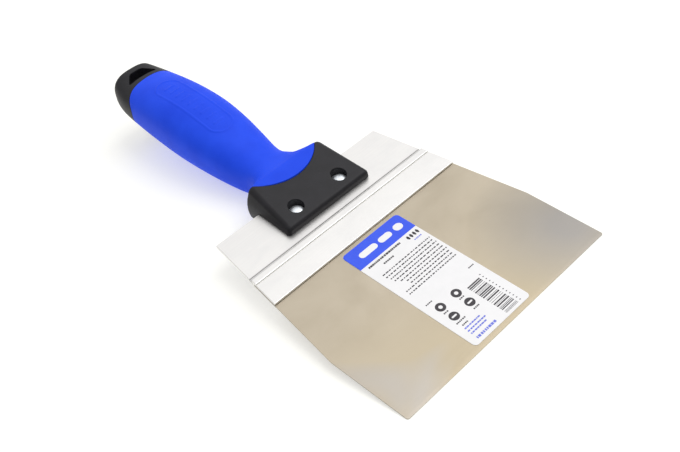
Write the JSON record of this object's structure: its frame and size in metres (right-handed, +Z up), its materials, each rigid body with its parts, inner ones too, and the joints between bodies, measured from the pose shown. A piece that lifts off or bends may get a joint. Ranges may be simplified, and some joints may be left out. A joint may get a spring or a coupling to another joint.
{
  "type": "flexible putty knife",
  "caption": "Flexible putty knife with a wide spring-steel blade clamped in an aluminium holder and a soft-grip plastic handle with a hanging hole.",
  "frame": {"origin": "on the surface the tool lies on, at the centre of its bounding box: the blade's front edge and the belly of the handle touch Z = 0", "axes": "+X across the blade, to the right when looking from the blade towards the handle with the labelled face up; +Y from the front edge towards the butt; +Z up"},
  "size_m": [0.15, 0.2996, 0.0436],
  "materials": {
    "spring_steel": "satin, warm grey with cloudy mottling",
    "aluminium": "satin",
    "hard_plastic": "fine grain, matte",
    "soft_grip": "satin thermoplastic elastomer",
    "rivet_metal": "bright",
    "label_film": "printed film, satin"
  },
  "bodies": {
    "handle": {"blade_holder": "aluminium", "handle_core": "hard_plastic", "grip_sleeve": "soft_grip", "rivet_left": "rivet_metal", "rivet_right": "rivet_metal"},
    "blade": {"blade": "spring_steel", "label": "label_film"}
  },
  "joints": [
    {"name": "blade_flex", "type": "hinge", "parent": "handle", "child": "blade", "pos_m": [0, -0.05647, 0.00995], "axis": [1, 0, 0], "range_deg": [-15, 15], "stiffness_Nm_per_rad": 10, "deforming": ["blade", "label"]}
  ]
}
